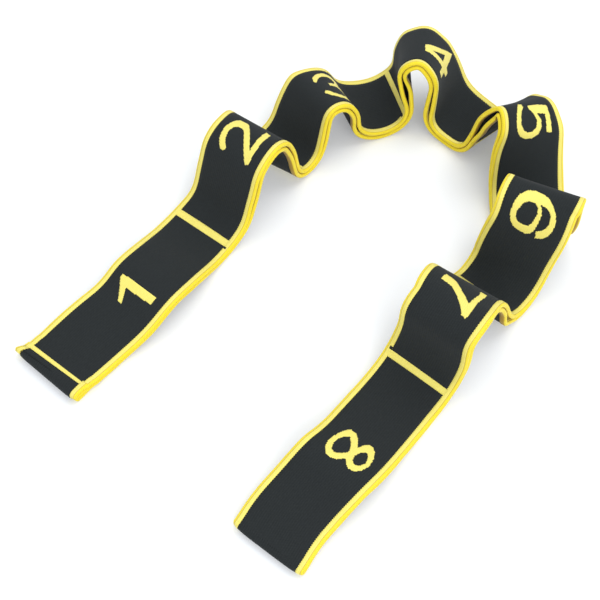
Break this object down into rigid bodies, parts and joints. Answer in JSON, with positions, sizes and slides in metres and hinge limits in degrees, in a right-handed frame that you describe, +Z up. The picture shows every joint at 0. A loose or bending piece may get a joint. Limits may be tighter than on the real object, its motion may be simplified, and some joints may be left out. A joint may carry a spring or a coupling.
{
  "type": "multi-loop stretching strap",
  "caption": "Flat elastic strap of two woven plies joined at cross bars into a row of numbered hand and foot loops, lying in a wavy U.",
  "frame": {"origin": "on the floor under the middle of the strap's bounding box as it lies", "axes": "+Z up; +Y towards the closed end of the U; the U's two legs come towards -Y"},
  "size_m": [0.2804, 0.3004, 0.0551],
  "materials": {
    "black_webbing": "matte fine woven elastic",
    "yellow_webbing": "matte woven elastic, slightly ribbed"
  },
  "bodies": {
    "loop_1": {"loop_1_upper_ply": "black_webbing", "loop_1_lower_ply": "black_webbing", "loop_1_upper_selvedges": "yellow_webbing", "loop_1_lower_selvedges": "yellow_webbing", "seam_bar_1_2": "yellow_webbing", "start_bar": "yellow_webbing", "start_hem": "black_webbing", "start_selvedge_ends": "yellow_webbing"},
    "loop_2": {"loop_2_upper_ply": "black_webbing", "loop_2_lower_ply": "black_webbing", "loop_2_upper_selvedges": "yellow_webbing", "loop_2_lower_selvedges": "yellow_webbing", "seam_bar_2_3": "yellow_webbing"},
    "loop_3": {"loop_3_upper_ply": "black_webbing", "loop_3_lower_ply": "black_webbing", "loop_3_upper_selvedges": "yellow_webbing", "loop_3_lower_selvedges": "yellow_webbing", "seam_bar_3_4": "yellow_webbing"},
    "loop_4": {"loop_4_upper_ply": "black_webbing", "loop_4_lower_ply": "black_webbing", "loop_4_upper_selvedges": "yellow_webbing", "loop_4_lower_selvedges": "yellow_webbing", "seam_bar_4_5": "yellow_webbing"},
    "loop_5": {"loop_5_upper_ply": "black_webbing", "loop_5_lower_ply": "black_webbing", "loop_5_upper_selvedges": "yellow_webbing", "loop_5_lower_selvedges": "yellow_webbing", "seam_bar_5_6": "yellow_webbing"},
    "loop_6": {"loop_6_upper_ply": "black_webbing", "loop_6_lower_ply": "black_webbing", "loop_6_upper_selvedges": "yellow_webbing", "loop_6_lower_selvedges": "yellow_webbing", "seam_bar_6_7": "yellow_webbing"},
    "loop_7": {"loop_7_upper_ply": "black_webbing", "loop_7_lower_ply": "black_webbing", "loop_7_upper_selvedges": "yellow_webbing", "loop_7_lower_selvedges": "yellow_webbing", "seam_bar_7_8": "yellow_webbing"},
    "loop_8": {"loop_8_upper_ply": "black_webbing", "loop_8_lower_ply": "black_webbing", "loop_8_upper_selvedges": "yellow_webbing", "loop_8_lower_selvedges": "yellow_webbing", "end_fold": "black_webbing", "end_selvedge_folds": "yellow_webbing"}
  },
  "joints": [
    {"name": "seam_1_2_fold", "type": "hinge", "parent": "loop_2", "child": "loop_1", "pos_m": [-0.04947, 0.04134, 0.00421], "axis": [-0.7646, 0.6445, 0.0022], "range_deg": [-40, 40]},
    {"name": "seam_2_3_fold", "type": "hinge", "parent": "loop_3", "child": "loop_2", "pos_m": [-0.01256, 0.0893, 0.00385], "axis": [0.7954, -0.6055, 0.0269], "range_deg": [-40, 40]},
    {"name": "seam_3_4_fold", "type": "hinge", "parent": "loop_4", "child": "loop_3", "pos_m": [0.05622, 0.12932, 0.01494], "axis": [-0.1874, 0.981, -0.0497], "range_deg": [-40, 40]},
    {"name": "seam_4_5_fold", "type": "hinge", "parent": "loop_4", "child": "loop_5", "pos_m": [0.10462, 0.10303, 0.01138], "axis": [0.7153, 0.6855, -0.1361], "range_deg": [-40, 40]},
    {"name": "seam_5_6_fold", "type": "hinge", "parent": "loop_5", "child": "loop_6", "pos_m": [0.12008, 0.0354, 0.01164], "axis": [-0.9976, 0.0581, 0.0369], "range_deg": [-40, 40]},
    {"name": "seam_6_7_fold", "type": "hinge", "parent": "loop_6", "child": "loop_7", "pos_m": [0.09246, -0.00367, 0.00469], "axis": [0.7025, -0.7111, 0.0293], "range_deg": [-40, 40]},
    {"name": "seam_7_8_fold", "type": "hinge", "parent": "loop_7", "child": "loop_8", "pos_m": [0.05395, -0.05029, 0.00528], "axis": [-0.747, 0.6592, 0.0863], "range_deg": [-40, 40]}
  ]
}
